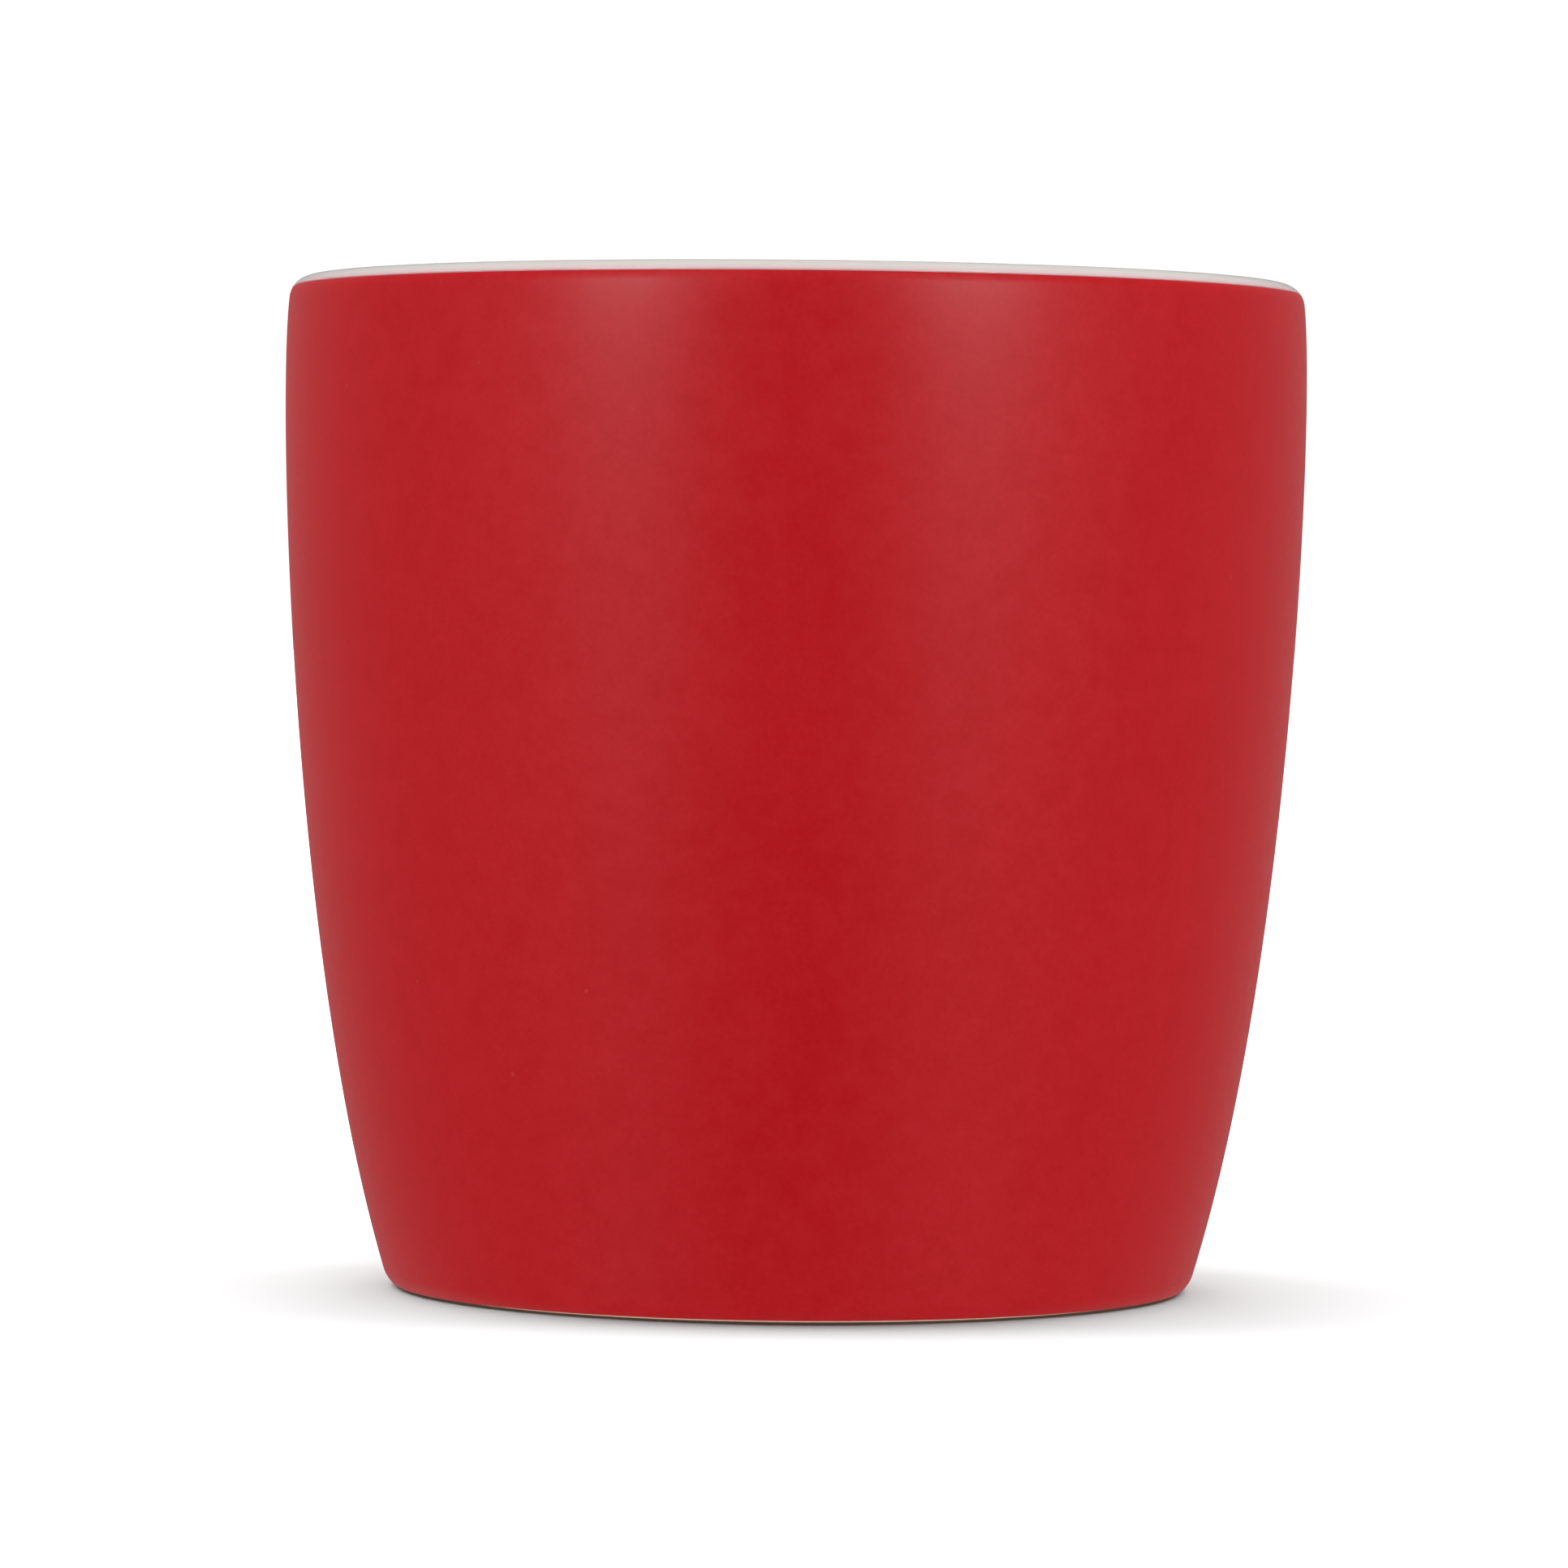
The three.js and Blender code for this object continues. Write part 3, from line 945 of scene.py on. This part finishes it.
glazePips = grow("glazePips", seenPips(), makePipTree(), {
    "Wall": redCoat,
    "Axis Y": cupAxisY,
    "Hidden from": pips["hiddenFrom"],
    "Per square metre": pips["perSquareMetre"],
    "Seed": pips["seed"],
    "Smallest": pips["smallest"],
    "Largest": pips["largest"],
    "Flatness": pips["flatness"],
    "Segments": pips["segments"],
    "Rings": pips["rings"],
    "Finish": pipGlaze,
})
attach(glazePips, "root")

stoodFor = {
    clayCup: ("fired_clay", ["stoneware_cup"]),
    redCoat: ("red_glaze", ["red_cup_glaze"]),
    whiteCoat: ("white_glaze", ["white_lining_glaze"]),
    recessCoat: ("white_glaze", ["foot_recess_glaze"]),
    redHandle: (
        "red_glaze",
        ["red_handle_glaze", "handle_core", "upper_slip_joint", "lower_slip_joint"],
    ),
}
for piece, (slot, nodes) in stoodFor.items():
    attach(piece, "root")
    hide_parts(*nodes)
print("pieces set on the frame:", len(stoodFor))


# Floor, lights and camera
studio = {
    "backdrop": 1.05,
    "ambient": 0.33,
    "darkFront": (-0.95, -0.35),  # Y of the directions where it is none at all, and full
    "floorTone": (0.15, 0.15, 0.15, 1),  # dark, so that the red throws no tint on it
    "floorRoughness": 0.9,
    "floorDrop": 0.02 * mm,
    "floorSpan": 16.0,
}

# Lamps on the mug: azimuth from the front and elevation in degrees, distance and size in metres,
# power in watts, and whether they give the body's light or the sheen
lamps = {
    "highSheenLeft": (-36, 42, 0.9, 0.42, 1.2, "sheen"),
    "highSheenRight": (37, 42, 0.9, 0.42, 1.2, "sheen"),
    "sheenBoxLeft": (-37, 18, 0.9, 0.30, 3.65, "sheen"),
    "sheenBoxRight": (39, 18, 0.9, 0.30, 3.65, "sheen"),
    "lowSheenLeft": (-36, -4, 0.9, 0.34, 0.45, "sheen"),
    "lowSheenRight": (36, -4, 0.9, 0.34, 0.45, "sheen"),
    "sideSheenLeft": (-60, 10, 0.9, 0.45, 0.35, "sheen"),
    "sideSheenRight": (60, 10, 0.9, 0.45, 0.55, "sheen"),
    "floorSheenLeft": (-46, -32, 0.9, 0.45, 0.42, "sheen"),
    "floorSheenRight": (46, -32, 0.9, 0.45, 0.36, "sheen"),
    "rimSheenLeft": (-140, -35, 1.0, 0.5, 0.08, "sheen"),
    "frontFillLeft": (-30, 12, 1.0, 0.7, 4.8, "body"),
    "frontFillRight": (30, 12, 1.0, 0.7, 5.2, "body"),
    "sideFillLeft": (-90, 10, 1.0, 0.7, 4.8, "body"),
    "sideFillRight": (90, 10, 1.0, 0.7, 5.0, "body"),
    "backFillLeft": (-150, 20, 1.0, 0.7, 4.3, "body"),
    "backFillRight": (150, 20, 1.0, 0.7, 4.3, "body"),
    "topPanel": (0, 90, 1.0, 0.9, 6.0, "body"),
    "underPanel": (0, -90, 1.0, 0.9, 6.7, "body"),
}

# Suns on the floor alone: azimuth and elevation in degrees, spread in degrees, strength
floorSuns = {
    "floorSunLeft": (-110, 50, 50, 14.6),
    "floorSunRight": (110, 50, 50, 13.1),
    "floorSunTop": (0, 90, 30, 9.4),
    "floorSunBack": (180, 25, 50, 6.0),
}


def makeFloor():
    # Seen from below it is clear, so that the mug's underside shows
    span, low = studio["floorSpan"] / 2, -studio["floorDrop"]
    mesh = bpy.data.meshes.new("floor")
    corners = [(-span, -span, low), (span, -span, low), (span, span, low), (-span, span, low)]
    mesh.from_pydata(corners, [], [(0, 1, 2, 3)])
    floor = bpy.data.objects.new("floor", mesh)
    bpy.context.scene.collection.objects.link(floor)
    material, tree, shader = newFinish("paleFloor")
    shader.inputs["Base Color"].default_value = studio["floorTone"]
    shader.inputs["Roughness"].default_value = studio["floorRoughness"]
    shader.inputs["Specular IOR Level"].default_value = 0.0
    side = addNode(tree, "ShaderNodeNewGeometry").outputs["Backfacing"]
    clear = addNode(tree, "ShaderNodeBsdfTransparent")
    both = addNode(tree, "ShaderNodeMixShader")
    for socket, value in zip(both.inputs, (side, shader.outputs[0], clear.outputs[0])):
        give(socket, value)
    give(tree.nodes["Material Output"].inputs["Surface"], both.outputs[0])
    mesh.materials.append(material)
    floor.visible_glossy = False
    floor.visible_diffuse = False
    floor.visible_shadow = False
    return floor


def onSphere(azimuth, elevation, distance):
    a, e = math.radians(azimuth), math.radians(elevation)
    middle = Vector((0, cupAxisY, cup["height"] / 2))
    way = Vector((math.sin(a) * math.cos(e), -math.cos(a) * math.cos(e), math.sin(e)))
    return middle + way * distance, way


def addLight(name, kind, place, way, receivers, **settings):
    light = bpy.data.lights.new(name, kind)
    for key, value in settings.items():
        setattr(light, key, value)
    lamp = bpy.data.objects.new(name, light)
    lamp.location = place
    lamp.rotation_mode = "QUATERNION"
    lamp.rotation_quaternion = way.to_track_quat("Z", "Y")
    bpy.context.scene.collection.objects.link(lamp)
    lamp.light_linking.receiver_collection = receivers
    return lamp


def lightStudio(floor, pieces):
    onMug = bpy.data.collections.new("litMug")
    for piece in pieces:
        onMug.objects.link(piece)
    onFloor = bpy.data.collections.new("litFloor")
    onFloor.objects.link(floor)
    for name, (azimuth, elevation, distance, size, power, gives) in lamps.items():
        place, way = onSphere(azimuth, elevation, distance)
        lamp = addLight(name, "AREA", place, way, onMug, energy=power, size=size)
        lamp.visible_diffuse = gives == "body"
        lamp.visible_glossy = gives == "sheen"
        # With multiple importance sampling the body's lamps would leak into the sheen
        lamp.data.cycles.use_multiple_importance_sampling = False
    for name, (azimuth, elevation, angle, strength) in floorSuns.items():
        place, way = onSphere(azimuth, elevation, 1.0)
        addLight(name, "SUN", place, way, onFloor, energy=strength, angle=math.radians(angle))


def lightWorld():
    # White behind everything that the camera sees, and a dimmer light on the mug, which is dark
    # on the camera's side, so that the front keeps its dark band
    world = bpy.data.worlds.new("studio")
    bpy.context.scene.world = world
    world.use_nodes = True
    tree = world.node_tree
    tree.nodes.clear()
    way = partsOf(tree, addNode(tree, "ShaderNodeTexCoord").outputs["Generated"])
    darkest, lightest = studio["darkFront"]
    ambient = spread(tree, way["Y"], darkest, lightest, 0, studio["ambient"])
    seen, light = (
        addNode(tree, "ShaderNodeBackground", {"Color": (1, 1, 1, 1), "Strength": strength})
        for strength in (studio["backdrop"], ambient)
    )
    path = addNode(tree, "ShaderNodeLightPath")
    both = addNode(tree, "ShaderNodeMixShader")
    give(both.inputs[0], path.outputs["Is Camera Ray"])
    give(both.inputs[1], light.outputs[0])
    give(both.inputs[2], seen.outputs[0])
    addNode(tree, "ShaderNodeOutputWorld", {"Surface": both.outputs[0]})


view = {
    "place": (0, -0.67263, 0.06050),
    "yaw": math.radians(-0.066),
    "pitch": math.radians(-1.399),
    "roll": math.radians(0.535),
    "lens": 170.46,
    "sensor": 36.0,
    "clip": (0.01, 50),
}


def aimCamera():
    yaw, pitch, roll = view["yaw"], view["pitch"], view["roll"]
    ahead = Vector(
        (math.sin(yaw) * math.cos(pitch), math.cos(yaw) * math.cos(pitch), math.sin(pitch))
    )
    level = ahead.cross(Vector((0, 0, 1))).normalized()
    upright = level.cross(ahead)
    right = level * math.cos(roll) + upright * math.sin(roll)
    up = upright * math.cos(roll) - level * math.sin(roll)
    data = bpy.data.cameras.new("photoView")
    data.lens = view["lens"]
    data.sensor_width = view["sensor"]
    data.clip_start, data.clip_end = view["clip"]
    camera = bpy.data.objects.new("photoView", data)
    turn = Matrix((right, up, -ahead)).transposed().to_4x4()
    camera.matrix_world = Matrix.Translation(view["place"]) @ turn
    bpy.context.scene.collection.objects.link(camera)
    bpy.context.scene.camera = camera


floor = makeFloor()
lightStudio(floor, [*stoodFor, glazePips])
lightWorld()
aimCamera()
bpy.context.scene.view_settings.view_transform = "Standard"
print("floor, lights and camera placed")
